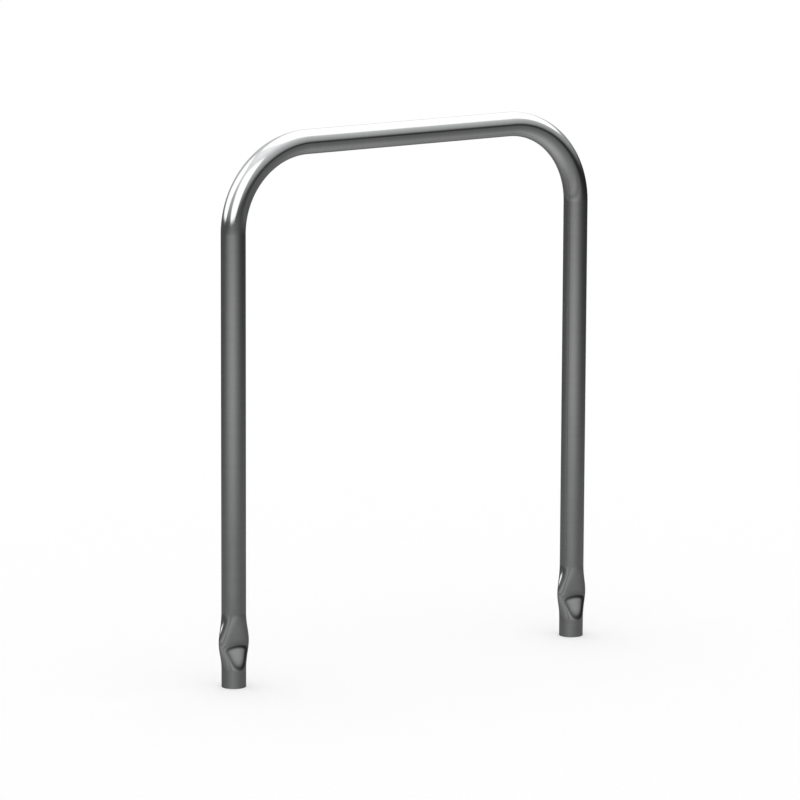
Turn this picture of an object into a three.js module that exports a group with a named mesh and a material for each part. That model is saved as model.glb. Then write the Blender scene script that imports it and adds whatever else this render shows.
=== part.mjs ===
// Hoop bike rack: one inverted-U hoop of round stainless tube, pinched near the bottom of each leg
// so that concrete grips it. Millimetres, +Z up. The origin is on the plane of the two feet, midway
// between the legs; +X runs along the hoop, from the left leg to the right one.

import * as THREE from 'three';

// Driving dimensions of the tube
const tubeRadius = 25.4;
const wallThickness = 2.0;

// Driving dimensions of the hoop, over the tube's centre line unless they say otherwise
const legSpacing = 850;
const overallHeight = 1140;
const bendRadius = 175;

// Driving dimensions of the pinched root of each leg, heights taken from the foot. The pinch swells
// the tube into two lobes along the hoop, and a punch presses a sloping face into each side of it
const pinchFootHeight = 36;
const lobeHeight = 94;
const pinchTopHeight = 157;
const collarLength = 13;
const lobeReach = 36;
const lobedHalfThickness = 17;
const foldHeight = 91;
const foldHalfThickness = 11.7;
const foldArchDrop = 8;
const foldRounding = 8;
const punchCrown = 3.5;
const edgeRounding = 6;

// The form of the lobes and the slopes of the punched faces, as shares
const lobePointShare = 0.3;
const rampSlopeShare = 0.35;
const browSlopeShare = 0.36;
const leastBoreShare = 0.1;

// How finely the surfaces are divided
const sides = 40;
const bendSteps = 12;
const rampSteps = 12;

// Worked out from the driving dimensions
const railHeight = overallHeight - tubeRadius;
const legTopHeight = railHeight - bendRadius;
const railHalfLength = legSpacing / 2 - bendRadius;
const rootLength = pinchTopHeight + collarLength;
const boreShare = (tubeRadius - wallThickness) / tubeRadius;

// A closed tube wall through a row of stations. Each station gives the ring of its outer surface
// and the ring of its bore, point for point, as Vector3.
function tubeWall(stations) {
  const positions = [];
  const indices = [];
  const ringSize = stations[0].outer.length;
  for (const station of stations) {
    for (const point of [...station.outer, ...station.bore]) {
      positions.push(point.x, point.y, point.z);
    }
  }
  const outerAt = (station, side) => station * 2 * ringSize + (side % ringSize);
  const boreAt = (station, side) => outerAt(station, side) + ringSize;
  const quad = (a, b, c, d) => indices.push(a, b, c, a, c, d);
  const last = stations.length - 1;
  for (let side = 0; side < ringSize; side += 1) {
    const next = side + 1;
    for (let k = 0; k < last; k += 1) {
      quad(outerAt(k, side), outerAt(k, next), outerAt(k + 1, next), outerAt(k + 1, side));
      quad(boreAt(k, next), boreAt(k, side), boreAt(k + 1, side), boreAt(k + 1, next));
    }
    quad(outerAt(0, next), outerAt(0, side), boreAt(0, side), boreAt(0, next));
    quad(outerAt(last, side), outerAt(last, next), boreAt(last, next), boreAt(last, side));
  }
  const geometry = new THREE.BufferGeometry();
  geometry.setAttribute('position', new THREE.Float32BufferAttribute(positions, 3));
  geometry.setIndex(indices);
  geometry.computeVertexNormals();
  return geometry;
}

// A ring of points on a circle, square to the direction that the tube runs in
function circleRing(centre, across, through, radius) {
  const ring = [];
  for (let side = 0; side < sides; side += 1) {
    const angle = (side / sides) * 2 * Math.PI;
    const point = centre.clone();
    point.addScaledVector(across, radius * Math.cos(angle));
    point.addScaledVector(through, radius * Math.sin(angle));
    ring.push(point);
  }
  return ring;
}

function roundStation(centre, across, through) {
  return {
    outer: circleRing(centre, across, through, tubeRadius),
    bore: circleRing(centre, across, through, tubeRadius * boreShare),
  };
}

// A straight, round stretch from one point to another
function straightTube(start, end, across) {
  const along = end.clone().sub(start).normalize();
  const through = along.clone().cross(across);
  return tubeWall([roundStation(start, across, through), roundStation(end, across, through)]);
}

// The bend of a leg whose axis is x = 0: it rises from the leg and turns towards +X
function bendTube() {
  const stations = [];
  for (let step = 0; step <= bendSteps; step += 1) {
    const turn = (step / bendSteps) * (Math.PI / 2);
    const outward = new THREE.Vector3(-Math.cos(turn), 0, Math.sin(turn));
    const centre = new THREE.Vector3(bendRadius, 0, legTopHeight).addScaledVector(outward, bendRadius);
    stations.push(roundStation(centre, outward.clone().negate(), new THREE.Vector3(0, 1, 0)));
  }
  return tubeWall(stations);
}

// A share that leaves 0 and reaches 1 without a corner
function smoothShare(share) {
  return 0.5 - 0.5 * Math.cos(Math.PI * THREE.MathUtils.clamp(share, 0, 1));
}

// The lower of two surfaces, with the ridge between them rounded over
function softLower(a, b, rounding) {
  const share = THREE.MathUtils.clamp(0.5 + (b - a) / (2 * rounding), 0, 1);
  return b + (a - b) * share - rounding * share * (1 - share);
}

// The upper of two surfaces, with the valley between them rounded out
function softUpper(a, b, rounding) {
  return -softLower(-a, -b, rounding);
}

// How far the tube is pinched at a height: 0 where it is round, 1 where its lobes reach furthest
function pinchShare(height) {
  const below = (height - pinchFootHeight) / (lobeHeight - pinchFootHeight);
  const above = (pinchTopHeight - height) / (pinchTopHeight - lobeHeight);
  return smoothShare(Math.min(below, above));
}

// Half the thickness that the punches leave, at a height and a distance along the hoop
function punchedHalfThickness(height, along) {
  const aside = (along / lobeReach) ** 2;
  const arched = height + foldArchDrop * aside;
  const ramp = foldHalfThickness + rampSlopeShare * (foldHeight - arched);
  const brow = foldHalfThickness + browSlopeShare * (arched - foldHeight);
  return softUpper(ramp, brow, foldRounding) - punchCrown * aside;
}

// One point of the pinched outline, as distances along the hoop and through it
function pinchedPoint(angle, height) {
  const pinch = pinchShare(height);
  const along = THREE.MathUtils.lerp(tubeRadius, lobeReach, pinch) * Math.cos(angle);
  const swell = THREE.MathUtils.lerp(tubeRadius, lobedHalfThickness, pinch);
  const lobed = swell * Math.abs(Math.sin(angle)) ** (1 + lobePointShare * pinch);
  const through = softLower(lobed, punchedHalfThickness(height, along), edgeRounding);
  return new THREE.Vector2(along, Math.sign(Math.sin(angle)) * through);
}

// The bore follows the outline one wall thickness inside it, and stays on its own side in the lobes
function borePoint(point, before, after) {
  const inward = new THREE.Vector2(before.y - after.y, after.x - before.x).normalize();
  const along = point.x + inward.x * wallThickness;
  const side = Math.sign(point.y);
  const through = Math.max(side * (point.y + inward.y * wallThickness), side * point.y * leastBoreShare);
  return new THREE.Vector2(along, side * through);
}

function pinchedStation(height) {
  const outline = [];
  for (let side = 0; side < sides; side += 1) {
    outline.push(pinchedPoint((side / sides) * 2 * Math.PI, height));
  }
  const boreLine = outline.map((point, side) => {
    return borePoint(point, outline[(side + sides - 1) % sides], outline[(side + 1) % sides]);
  });
  return {
    outer: outline.map((point) => new THREE.Vector3(point.x, point.y, height)),
    bore: boreLine.map((point) => new THREE.Vector3(point.x, point.y, height)),
  };
}

// The root: a round stub at the foot, the pinch, and a round collar that meets the leg
function rootTube() {
  const heights = [0];
  for (let step = 0; step <= rampSteps; step += 1) {
    heights.push(pinchFootHeight + ((foldHeight - pinchFootHeight) * step) / rampSteps);
  }
  for (let step = 1; step <= rampSteps; step += 1) {
    heights.push(foldHeight + ((pinchTopHeight - foldHeight) * step) / rampSteps);
  }
  heights.push(rootLength);
  return tubeWall(heights.map(pinchedStation));
}

function satinStainless() {
  return new THREE.MeshStandardMaterial({ color: 0x9a9b9d, metalness: 1, roughness: 0.28 });
}

function stretch(name, geometry) {
  const mesh = new THREE.Mesh(geometry, satinStainless());
  mesh.name = name;
  return mesh;
}

// One side of the hoop, built round its leg's axis: root, leg and the bend that turns inward
function hoopSide(sideName) {
  const group = new THREE.Group();
  const hoopward = new THREE.Vector3(1, 0, 0);
  const legFoot = new THREE.Vector3(0, 0, rootLength);
  const legTop = new THREE.Vector3(0, 0, legTopHeight);
  group.add(stretch(`${sideName}_root`, rootTube()));
  group.add(stretch(`${sideName}_leg`, straightTube(legFoot, legTop, hoopward)));
  group.add(stretch(`${sideName}_bend`, bendTube()));
  return group;
}

function topRail() {
  const start = new THREE.Vector3(-railHalfLength, 0, railHeight);
  const end = new THREE.Vector3(railHalfLength, 0, railHeight);
  return stretch('top_rail', straightTube(start, end, new THREE.Vector3(0, 0, -1)));
}

const hoop = new THREE.Group();
const leftSide = hoopSide('left');
const rightSide = hoopSide('right');
leftSide.position.x = -legSpacing / 2;
rightSide.position.x = legSpacing / 2;
rightSide.rotation.z = Math.PI;
hoop.add(topRail(), leftSide, rightSide);

export default hoop;
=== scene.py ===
# Hoop bike rack: one hoop of bent round stainless tube with a satin polish, pinched near its feet.
# Each of its seven stretches is a fine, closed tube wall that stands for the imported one. Metres.

import math

import bpy
import numpy as np
from mathutils import Matrix, Vector


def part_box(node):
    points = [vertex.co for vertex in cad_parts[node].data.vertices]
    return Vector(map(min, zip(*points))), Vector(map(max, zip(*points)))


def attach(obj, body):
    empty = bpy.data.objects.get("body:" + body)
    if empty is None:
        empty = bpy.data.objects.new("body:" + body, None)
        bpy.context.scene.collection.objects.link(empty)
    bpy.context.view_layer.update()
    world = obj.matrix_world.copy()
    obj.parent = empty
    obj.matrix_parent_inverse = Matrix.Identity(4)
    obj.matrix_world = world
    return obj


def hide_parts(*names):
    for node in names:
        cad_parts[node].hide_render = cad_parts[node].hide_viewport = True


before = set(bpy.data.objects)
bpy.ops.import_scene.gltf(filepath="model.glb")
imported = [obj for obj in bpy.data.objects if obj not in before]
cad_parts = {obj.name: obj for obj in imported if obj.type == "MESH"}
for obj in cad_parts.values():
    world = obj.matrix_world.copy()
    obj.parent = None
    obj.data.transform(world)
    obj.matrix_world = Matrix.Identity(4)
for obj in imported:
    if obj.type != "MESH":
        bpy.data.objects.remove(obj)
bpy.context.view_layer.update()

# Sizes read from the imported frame
rail_low, rail_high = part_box("top_rail")
leg_low, leg_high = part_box("left_leg")
root_low, root_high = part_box("left_root")
tube_radius = (rail_high.z - rail_low.z) / 2
rail_height = (rail_high.z + rail_low.z) / 2
rail_half_length = rail_high.x
leg_axis = -(leg_low.x + leg_high.x) / 2
root_length = root_high.z
leg_top = leg_high.z
bend_radius = rail_height - leg_top
lobe_reach = (root_high.x - root_low.x) / 2
tube_length = 2 * (leg_top + bend_radius * math.pi / 2 + rail_half_length)

# The wall and the pinch, as the solids have them. The pinch swells the tube into two lobes along the
# hoop, and a punch presses a sloping face into each side of it
wall_thickness = 0.002
pinch_foot_height = 0.036
lobe_height = 0.094
pinch_top_height = 0.157
lobed_half_thickness = 0.017
fold_height = 0.091
fold_half_thickness = 0.0117
fold_arch_drop = 0.008
fold_rounding = 0.008
punch_crown = 0.0035
edge_rounding = 0.006
lobe_point_share = 0.3
ramp_slope_share = 0.35
brow_slope_share = 0.36
least_bore_share = 0.1

# The sawn ends
rim_rounding = 0.0005

# The finish. Satin: the outside, polished round the tube. Mill: the bore and the sawn ends, as made.
# Swings are how far a value moves to either side
steel_colour = (0.6, 0.605, 0.61, 1)
mill_colour = (0.5, 0.495, 0.49, 1)
satin_roughness = 0.12
mill_roughness = 0.34
polish_line_swing = 0.02
handling_swing = 0.025
tone_swing_share = 0.035
polish_line_depth = 0.0000008
mill_grain_depth = 0.000012

# The noises that the finish is made of: feature size round the tube, size along it, and detail
polish_lines = (0.03, 0.0006, 3)
polish_bands = (0.2, 0.009, 2)
handling_marks = (0.045, 0.11, 4)
mill_grains = (0.0012, 0.02, 3)

# Nearly all of a noise lies between the first two values, and of two noises added up between the others
noise_span = (0.3, 0.7)
noise_pair_span = (0.7, 1.3)

# How finely the surfaces are divided
sides = 144
bend_steps = 72
root_step_length = 0.001
straight_steps = 8
rim_steps = 3
derivative_step = 1e-5

# The studio
floor_radius = 60.0
floor_sides = 96
dome_radius = 30.0
dome_middle_height = rail_height / 2
dome_step_degrees = 1.0

# The studio's grey, by height in degrees: its level at the sides, towards the camera and behind
studio_stops = (
    (-90, 0.50, 0.53, 0.43),
    (-70, 0.44, 0.49, 0.38),
    (-55, 0.33, 0.42, 0.27),
    (-42, 0.245, 0.34, 0.21),
    (-35, 0.20, 0.32, 0.19),
    (-28, 0.17, 0.33, 0.17),
    (-19, 0.14, 0.38, 0.14),
    (-15.5, 0.12, 0.27, 0.13),
    (-13.5, 0.18, 0.16, 0.18),
    (-12, 0.14, 0.33, 0.14),
    (-11, 0.10, 0.48, 0.10),
    (-9, 0.06, 0.42, 0.08),
    (-7, 0.03, 0.26, 0.10),
    (-1, 0.02, 0.19, 0.18),
    (2, 0.035, 0.17, 0.28),
    (5, 0.15, 0.20, 0.42),
    (8, 0.27, 0.27, 0.52),
    (13, 0.41, 0.41, 0.64),
    (20, 0.51, 0.51, 0.66),
    (32, 0.64, 0.64, 0.74),
    (42, 0.80, 0.80, 0.86),
    (55, 1.06, 1.06, 1.06),
    (70, 1.30, 1.30, 1.30),
    (90, 1.40, 1.40, 1.40),
)

# Directions in the studio, in degrees: bearings go round the hoop from where the camera stands, and
# heights go up from level. Each reach is the angle from its bearing up to which a light is full, and
# the angle at which it has faded out. The left side is never darker than its fill. The backdrop, away
# from the camera, comes in between its two heights, and above them nothing there is darker than it
front_middle_bearing = -11
front_narrowness = 4
left_fill_bearing = -100
left_fill_reach = (40, 75)
left_fill_level = 0.10
back_middle_bearing = -160
back_reach = (22, 58)
backdrop_bearing = 180
backdrop_reach = (2, 18)
backdrop_heights = (-7, 3)
backdrop_level = 1.0

# The square lamps: the bearing and height of each one's middle, and half its side at one length away
lamps = (
    (-10.5, 29.3, 0.50),
    (-98.3, 29.8, 0.49),
    (143, 58, 0.75),
)
lamp_level = 1.7
lamp_corner_share = 0.5
lamp_edge_share = 0.1
lamp_reach_degrees = 80

# The photograph's camera
camera_place = Vector((-5.9514, -8.8747, 2.5892))
camera_turn_degrees = 33.766
camera_dip_degrees = 10.779
camera_roll_degrees = 0.265
camera_lens_mm = 235.6
camera_clip_end = 4 * floor_radius
sensor_width_mm = 36.0


def smooth_share(share):
    """A share that leaves 0 and reaches 1 without a corner."""
    share = np.clip(share, 0, 1)
    return 0.5 - 0.5 * np.cos(math.pi * share)


def soft_lower(a, b, rounding):
    """The lower of two surfaces, with the ridge between them rounded over."""
    share = np.clip(0.5 + (b - a) / (2 * rounding), 0, 1)
    return b + (a - b) * share - rounding * share * (1 - share)


def soft_upper(a, b, rounding):
    """The upper of two surfaces, with the valley between them rounded out."""
    return -soft_lower(-a, -b, rounding)


def punched_half_thickness(height, along):
    """Half the thickness that the punches leave, at a height and a distance along the hoop."""
    aside = (along / lobe_reach) ** 2
    arched = height + fold_arch_drop * aside
    ramp = fold_half_thickness + ramp_slope_share * (fold_height - arched)
    brow = fold_half_thickness + brow_slope_share * (arched - fold_height)
    return soft_upper(ramp, brow, fold_rounding) - punch_crown * aside


def root_surface(angle, height):
    """Points on the outside of a root, for angles round the tube and heights along it."""
    below = (height - pinch_foot_height) / (lobe_height - pinch_foot_height)
    above = (pinch_top_height - height) / (pinch_top_height - lobe_height)
    pinch = smooth_share(np.minimum(below, above))
    along = (tube_radius + (lobe_reach - tube_radius) * pinch) * np.cos(angle)
    swell = tube_radius + (lobed_half_thickness - tube_radius) * pinch
    lobed = swell * np.abs(np.sin(angle)) ** (1 + lobe_point_share * pinch)
    through = soft_lower(lobed, punched_half_thickness(height, along), edge_rounding)
    return np.stack([along, np.sign(np.sin(angle)) * through, height + 0 * angle], axis=-1)


def leg_surface(angle, height):
    across = tube_radius * np.cos(angle)
    through = tube_radius * np.sin(angle)
    return np.stack([across, through, height + 0 * angle], axis=-1)


def bend_surface(angle, turn):
    reach = bend_radius - tube_radius * np.cos(angle)
    along = bend_radius - reach * np.cos(turn)
    rise = leg_top + reach * np.sin(turn)
    return np.stack([along, tube_radius * np.sin(angle), rise], axis=-1)


def rail_surface(angle, along):
    rise = rail_height - tube_radius * np.cos(angle)
    return np.stack([along + 0 * angle, tube_radius * np.sin(angle), rise], axis=-1)


def outward_normals(surface, angles, run):
    """Unit normals of a stretch's outer surface, taken from the surface's own slopes."""
    runs = np.full_like(angles, run)
    around = surface(angles + derivative_step, runs) - surface(angles - derivative_step, runs)
    onward = surface(angles, runs + derivative_step) - surface(angles, runs - derivative_step)
    normals = np.cross(around, onward)
    return normals / np.linalg.norm(normals, axis=1, keepdims=True)


class Wall:
    """A closed tube wall: rings up the outer surface, back down the bore, and so round to the start.

    Each ring also keeps where its points would lie on the straight tube, which the finish follows.
    """

    def __init__(self, surface, runs, lengths, rounded_start=False):
        self.surface = surface
        self.runs = runs
        self.lengths = lengths
        self.angles = np.arange(sides) * (2 * math.pi / sides)
        self.rings = []
        self.shades = []
        self.straight_places = []
        self.outer_rings(rounded_start)
        self.bore_rings(rounded_start)

    def onward(self, run):
        """The direction that the tube runs in at a station."""
        runs = np.array([run - derivative_step, run + derivative_step])
        start, end = self.surface(np.full(2, math.pi / 2), runs)
        return (end - start) / np.linalg.norm(end - start)

    def add_ring(self, points, before, after, length, radius):
        """before and after are the normals on the two sides of the ring."""
        self.rings.append(points)
        self.shades.append((before, after))
        around = np.stack([np.cos(self.angles), np.sin(self.angles)], axis=1) * radius
        self.straight_places.append(np.column_stack([around, np.full(sides, length)]))

    def rim(self, points, normals, onward, length, radius, outside):
        """The rounded edge of a sawn end, from the wall's side face to its flat end."""
        order = range(rim_steps + 1)
        order = reversed(order) if outside else order
        side_sign = 1 if outside else -1
        for step in order:
            turn = (step / rim_steps) * (math.pi / 2)
            shade = side_sign * normals * math.cos(turn) - onward * math.sin(turn)
            inset = rim_rounding * (1 - math.cos(turn))
            lift = rim_rounding * (1 - math.sin(turn))
            ring = points - side_sign * normals * inset + onward * lift
            self.add_ring(ring, shade, shade, length + lift, radius - side_sign * inset)

    def outer_rings(self, rounded_start):
        last = len(self.runs) - 1
        for index, run in enumerate(self.runs):
            points = self.surface(self.angles, np.full(sides, run))
            normals = outward_normals(self.surface, self.angles, run)
            onward = self.onward(run)
            length = self.lengths[index]
            if index == 0 and rounded_start:
                self.rim(points, normals, onward, length, tube_radius, outside=True)
                continue
            before = np.tile(-onward, (sides, 1)) if index == 0 else normals
            after = np.tile(onward, (sides, 1)) if index == last else normals
            self.add_ring(points, before, after, length, tube_radius)

    def bore_rings(self, rounded_start):
        last = len(self.runs) - 1
        bore_radius = tube_radius - wall_thickness
        for index in range(last, -1, -1):
            run = self.runs[index]
            normals = outward_normals(self.surface, self.angles, run)
            onward = self.onward(run)
            level = normals - np.outer(normals @ onward, onward)
            level = level / np.linalg.norm(level, axis=1, keepdims=True)
            outer = self.surface(self.angles, np.full(sides, run))
            points = outer - level * wall_thickness
            own_side = np.sign(outer[:, 1])
            least = least_bore_share * np.abs(outer[:, 1])
            points[:, 1] = own_side * np.maximum(own_side * points[:, 1], least)
            length = self.lengths[index]
            if index == 0 and rounded_start:
                self.rim(points, normals, onward, length, bore_radius, outside=False)
                continue
            before = np.tile(onward, (sides, 1)) if index == last else -normals
            after = np.tile(-onward, (sides, 1)) if index == 0 else -normals
            self.add_ring(points, before, after, length, bore_radius)

    def build(self, name, place, straight_place):
        """place puts the stretch on the hoop, and straight_place on the tube before it was bent."""
        ring_count = len(self.rings)
        vertices = np.concatenate(self.rings)
        straight = np.concatenate(self.straight_places) @ np.array(straight_place.to_3x3()).T
        straight = straight + np.array(straight_place.translation)
        faces = []
        normals = []
        for ring in range(ring_count):
            following = (ring + 1) % ring_count
            near = self.shades[ring][1]
            far = self.shades[following][0]
            for side in range(sides):
                other = (side + 1) % sides
                faces.append((
                    ring * sides + side,
                    ring * sides + other,
                    following * sides + other,
                    following * sides + side,
                ))
                normals.extend((near[side], near[other], far[other], far[side]))
        mesh = bpy.data.meshes.new(name)
        mesh.from_pydata(vertices.tolist(), [], faces)
        mesh.transform(place)
        turned = np.array(normals) @ np.array(place.to_3x3()).T
        mesh.polygons.foreach_set("use_smooth", [True] * len(faces))
        mesh.normals_split_custom_set(turned.tolist())
        attribute = mesh.attributes.new("straight_place", "FLOAT_VECTOR", "POINT")
        attribute.data.foreach_set("vector", straight.ravel())
        mesh.update()
        return added_object(name, mesh)


def added_object(name, data):
    """A new object in the scene."""
    piece = bpy.data.objects.new(name, data)
    bpy.context.scene.collection.objects.link(piece)
    return piece


def added_material(name):
    """A new material with its own nodes."""
    material = bpy.data.materials.new(name)
    material.use_nodes = True
    return material


def spaced(start, end, count):
    return np.linspace(start, end, count + 1)


def finish_skin(skin, node, material):
    skin.data.materials.append(material)
    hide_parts(node)
    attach(skin, "root")


def side_skins(side_name, place, straight_place, material):
    """Root, leg and bend of one side, in the frame of that side's leg axis."""
    root_runs = spaced(0, root_length, round(root_length / root_step_length))
    leg_runs = spaced(root_length, leg_top, straight_steps)
    turns = spaced(0, math.pi / 2, bend_steps)
    stretches = (
        ("root", Wall(root_surface, root_runs, root_runs, rounded_start=True)),
        ("leg", Wall(leg_surface, leg_runs, leg_runs)),
        ("bend", Wall(bend_surface, turns, leg_top + turns * bend_radius)),
    )
    for part, wall in stretches:
        skin = wall.build(f"{side_name}_{part}_skin", place, straight_place)
        finish_skin(skin, f"{side_name}_{part}", material)


def rail_skin(material):
    runs = spaced(-rail_half_length, rail_half_length, straight_steps)
    wall = Wall(rail_surface, runs, runs + tube_length / 2)
    skin = wall.build("top_rail_skin", Matrix.Identity(4), Matrix.Identity(4))
    finish_skin(skin, "top_rail", material)


def add_node(tree, kind, **settings):
    node = tree.nodes.new(kind)
    for name, value in settings.items():
        setattr(node, name, value)
    return node


def grain(tree, place, size_round, size_along, detail):
    """A noise over the straight tube, with features of a size round it and along it."""
    scaled = add_node(tree, "ShaderNodeVectorMath", operation="MULTIPLY")
    scaled.inputs[1].default_value = (1 / size_round, 1 / size_round, 1 / size_along)
    noise = add_node(tree, "ShaderNodeTexNoise")
    noise.inputs["Scale"].default_value = 1.0
    noise.inputs["Detail"].default_value = detail
    tree.links.new(place, scaled.inputs[0])
    tree.links.new(scaled.outputs["Vector"], noise.inputs["Vector"])
    return noise.outputs["Fac"]


def ranged(tree, value, from_low, from_high, to_low, to_high):
    """A value carried from one range into another, and held at its ends."""
    node = add_node(tree, "ShaderNodeMapRange")
    for socket, number in (
        ("From Min", from_low),
        ("From Max", from_high),
        ("To Min", to_low),
        ("To Max", to_high),
    ):
        node.inputs[socket].default_value = number
    tree.links.new(value, node.inputs["Value"])
    return node.outputs["Result"]


def combined(tree, operation, first, second):
    node = add_node(tree, "ShaderNodeMath", operation=operation)
    tree.links.new(first, node.inputs[0])
    tree.links.new(second, node.inputs[1])
    return node.outputs["Value"]


def mixed(tree, kind, share, first, second):
    """first where the share is 0, second where it is 1; each is a socket or a plain value."""
    node = add_node(tree, "ShaderNodeMix", data_type=kind)
    inputs = [socket for socket in node.inputs if socket.enabled]
    output = next(socket for socket in node.outputs if socket.enabled)
    tree.links.new(share, inputs[0])
    for value, socket in ((first, inputs[-2]), (second, inputs[-1])):
        if isinstance(value, bpy.types.NodeSocket):
            tree.links.new(value, socket)
        else:
            socket.default_value = value
    return output


def mill_share(tree, place):
    """1 on the bore and the sawn ends, 0 outside: told by the distance from the straight axis."""
    flat = add_node(tree, "ShaderNodeVectorMath", operation="MULTIPLY")
    flat.inputs[1].default_value = (1, 1, 0)
    reach = add_node(tree, "ShaderNodeVectorMath", operation="LENGTH")
    tree.links.new(place, flat.inputs[0])
    tree.links.new(flat.outputs["Vector"], reach.inputs[0])
    return ranged(tree, reach.outputs["Value"], tube_radius - rim_rounding, tube_radius, 1, 0)


def satin_stainless():
    material = added_material("satin_stainless")
    tree = material.node_tree
    shader = tree.nodes["Principled BSDF"]
    shader.inputs["Metallic"].default_value = 1.0
    place = add_node(tree, "ShaderNodeAttribute", attribute_name="straight_place").outputs["Vector"]
    lines = grain(tree, place, *polish_lines)
    bands = grain(tree, place, *polish_bands)
    handling = grain(tree, place, *handling_marks)
    mill_grain = grain(tree, place, *mill_grains)
    mill = mill_share(tree, place)

    tone = ranged(tree, combined(tree, "ADD", bands, handling), *noise_pair_span, 0, 1)
    darker = tuple(level * (1 - tone_swing_share) for level in steel_colour[:3]) + (1,)
    lighter = tuple(level * (1 + tone_swing_share) for level in steel_colour[:3]) + (1,)
    steel = mixed(tree, "RGBA", tone, darker, lighter)
    colour = mixed(tree, "RGBA", mill, steel, mill_colour)
    tree.links.new(colour, shader.inputs["Base Color"])

    line_part = ranged(tree, lines, *noise_span, -polish_line_swing, polish_line_swing)
    smoothest = satin_roughness - handling_swing
    roughest = satin_roughness + handling_swing
    handling_part = ranged(tree, handling, *noise_span, smoothest, roughest)
    satin = combined(tree, "ADD", line_part, handling_part)
    roughness = mixed(tree, "FLOAT", mill, satin, mill_roughness)
    tree.links.new(roughness, shader.inputs["Roughness"])

    polish_height = ranged(tree, lines, 0, 1, 0, polish_line_depth)
    mill_height = ranged(tree, mill_grain, 0, 1, 0, mill_grain_depth)
    height = mixed(tree, "FLOAT", mill, polish_height, mill_height)
    bump = add_node(tree, "ShaderNodeBump")
    bump.inputs["Distance"].default_value = 1.0
    tree.links.new(height, bump.inputs["Height"])
    tree.links.new(bump.outputs["Normal"], shader.inputs["Normal"])
    return material


def edge(value, low, high):
    """A share that rises from 0 at one value to 1 at another."""
    return smooth_share((value - low) / (high - low))


def bearing_from(azimuth, middle):
    """How far a direction lies round from another, in degrees."""
    return np.abs((azimuth - middle + 180) % 360 - 180)


def near_share(azimuth, bearing, reach):
    """1 as far from a bearing as the reach's first angle, and 0 from its second one on."""
    return edge(-bearing_from(azimuth, bearing), -reach[1], -reach[0])


def blended(first, second, share):
    return first + (second - first) * share


def lamp_share(azimuth, elevation, bearing, height, half_side):
    """How much of a square lamp shows in a direction."""
    turn = np.radians(azimuth - bearing)
    rise = np.radians(elevation)
    tilt = math.radians(height)
    level_part = np.cos(rise) * np.cos(turn)
    towards = level_part * math.cos(tilt) + np.sin(rise) * math.sin(tilt)
    upward = np.sin(rise) * math.cos(tilt) - level_part * math.sin(tilt)
    across = np.cos(rise) * np.sin(turn)
    least_ahead = math.cos(math.radians(lamp_reach_degrees))
    ahead = np.maximum(towards, least_ahead)
    straight_half = half_side * (1 - lamp_corner_share)
    past_side = np.abs(across) / ahead - straight_half
    past_top = np.abs(upward) / ahead - straight_half
    outside = np.hypot(np.maximum(past_side, 0), np.maximum(past_top, 0))
    outside = outside + np.minimum(np.maximum(past_side, past_top), 0)
    outside = outside - half_side * lamp_corner_share
    softness = half_side * lamp_edge_share
    return edge(-outside, -softness, softness) * (towards > least_ahead)


def studio_level(azimuth, elevation):
    """How bright the studio is in a direction, in degrees; azimuth 0 is where the camera stands."""
    heights, side_levels, front_levels, back_levels = np.array(studio_stops).T
    facing = 0.5 + 0.5 * np.cos(np.radians(bearing_from(azimuth, front_middle_bearing)))
    front_share = facing ** front_narrowness
    front_level = np.interp(elevation, heights, front_levels)
    level = blended(np.interp(elevation, heights, side_levels), front_level, front_share)
    back_share = near_share(azimuth, back_middle_bearing, back_reach)
    level = blended(level, np.interp(elevation, heights, back_levels), back_share)
    fill_share = near_share(azimuth, left_fill_bearing, left_fill_reach)
    level = blended(level, np.maximum(left_fill_level, level), fill_share)
    backdrop_share = near_share(azimuth, backdrop_bearing, backdrop_reach)
    backdrop_share = backdrop_share * edge(elevation, *backdrop_heights)
    level = blended(level, np.maximum(backdrop_level, level), backdrop_share)
    lamp_shares = [lamp_share(azimuth, elevation, *lamp) for lamp in lamps]
    return blended(level, lamp_level, np.maximum.reduce(lamp_shares))


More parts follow.
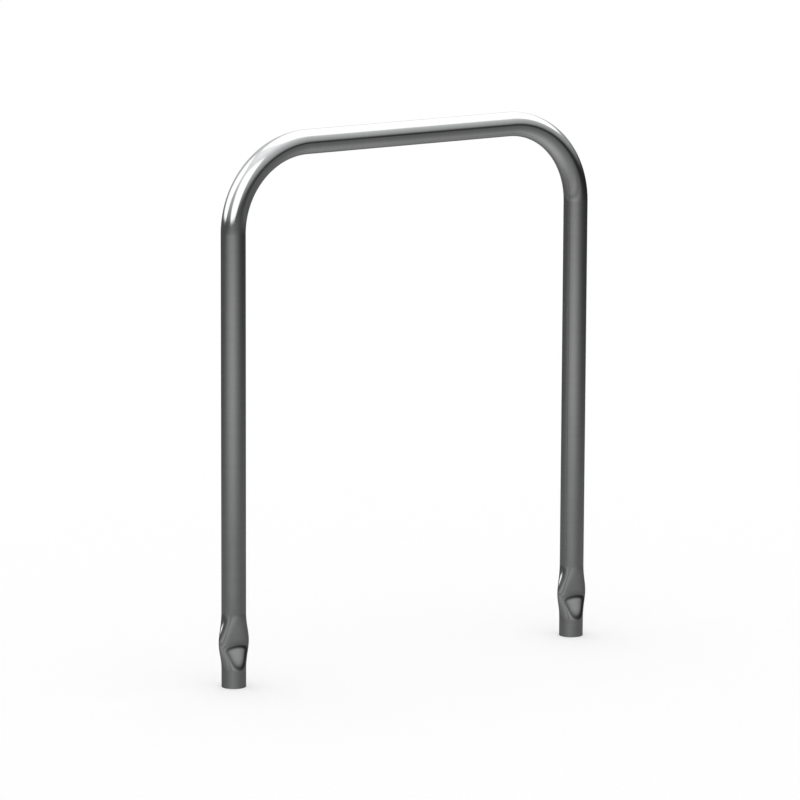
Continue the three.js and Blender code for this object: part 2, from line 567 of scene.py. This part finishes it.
def reflection_dome():
    """What the metal mirrors: lamps, grey walls and a grey floor, fixed in the hoop's frame."""
    columns = round(360 / dome_step_degrees)
    rows = round(180 / dome_step_degrees)
    azimuths = np.arange(columns + 1) * dome_step_degrees - 180
    elevations = np.arange(rows + 1) * dome_step_degrees - 90
    azimuth, elevation = np.meshgrid(azimuths, elevations)
    bearing = np.radians(camera_turn_degrees - azimuth)
    flat = np.cos(np.radians(elevation))
    points = np.stack([
        -flat * np.sin(bearing),
        -flat * np.cos(bearing),
        np.sin(np.radians(elevation)),
    ], axis=-1) * dome_radius
    points = points.reshape(-1, 3) + np.array([0, 0, dome_middle_height])
    faces = []
    for row in range(rows):
        for column in range(columns):
            corner = row * (columns + 1) + column
            faces.append((corner, corner + 1, corner + columns + 2, corner + columns + 1))
    mesh = bpy.data.meshes.new("reflection_dome")
    mesh.from_pydata(points.tolist(), [], faces)
    level = studio_level(azimuth, elevation).ravel()
    attribute = mesh.attributes.new("studio_level", "FLOAT", "POINT")
    attribute.data.foreach_set("value", level)
    dome = added_object("reflection_dome", mesh)
    material = added_material("studio_light")
    material.cycles.emission_sampling = "NONE"
    tree = material.node_tree
    tree.nodes.clear()
    reading = add_node(tree, "ShaderNodeAttribute", attribute_name="studio_level")
    glow = add_node(tree, "ShaderNodeEmission")
    output = add_node(tree, "ShaderNodeOutputMaterial")
    tree.links.new(reading.outputs["Fac"], glow.inputs["Strength"])
    tree.links.new(glow.outputs["Emission"], output.inputs["Surface"])
    mesh.materials.append(material)
    dome.visible_camera = False
    dome.visible_diffuse = False
    dome.visible_transmission = False
    dome.visible_volume_scatter = False
    dome.visible_shadow = False


def pale_floor():
    ring = []
    for index in range(floor_sides):
        angle = (index / floor_sides) * 2 * math.pi
        ring.append((floor_radius * math.cos(angle), floor_radius * math.sin(angle), 0))
    mesh = bpy.data.meshes.new("studio_floor")
    mesh.from_pydata(ring, [], [tuple(range(floor_sides))])
    floor = added_object("studio_floor", mesh)
    material = added_material("pale_floor")
    shader = material.node_tree.nodes["Principled BSDF"]
    shader.inputs["Base Color"].default_value = (1, 1, 1, 1)
    shader.inputs["Roughness"].default_value = 1.0
    shader.inputs["Specular IOR Level"].default_value = 0.0
    mesh.materials.append(material)
    floor.visible_glossy = False


def white_world():
    world = bpy.data.worlds.new("studio_world")
    bpy.context.scene.world = world
    world.use_nodes = True
    background = world.node_tree.nodes["Background"]
    background.inputs["Color"].default_value = (1, 1, 1, 1)
    background.inputs["Strength"].default_value = 1.0
    world.cycles_visibility.glossy = False


def photograph_camera():
    data = bpy.data.cameras.new("photograph_camera")
    data.sensor_width = sensor_width_mm
    data.lens = camera_lens_mm
    data.clip_end = camera_clip_end
    camera = added_object("photograph_camera", data)
    look_up = Matrix.Rotation(math.radians(90 - camera_dip_degrees), 4, "X")
    turn = Matrix.Rotation(-math.radians(camera_turn_degrees), 4, "Z")
    roll = Matrix.Rotation(math.radians(camera_roll_degrees), 4, "Z")
    camera.matrix_world = Matrix.Translation(camera_place) @ turn @ look_up @ roll
    bpy.context.scene.camera = camera


photograph_camera()
white_world()
pale_floor()
reflection_dome()
stainless = satin_stainless()
rail_skin(stainless)
side_skins("left", Matrix.Translation((-leg_axis, 0, 0)), Matrix.Identity(4), stainless)
turned_round = Matrix.Translation((leg_axis, 0, 0)) @ Matrix.Rotation(math.pi, 4, "Z")
other_end = Matrix.Translation((0, 0, tube_length)) @ Matrix.Rotation(math.pi, 4, "X")
side_skins("right", turned_round, other_end, stainless)
bpy.context.scene.view_settings.view_transform = "Standard"
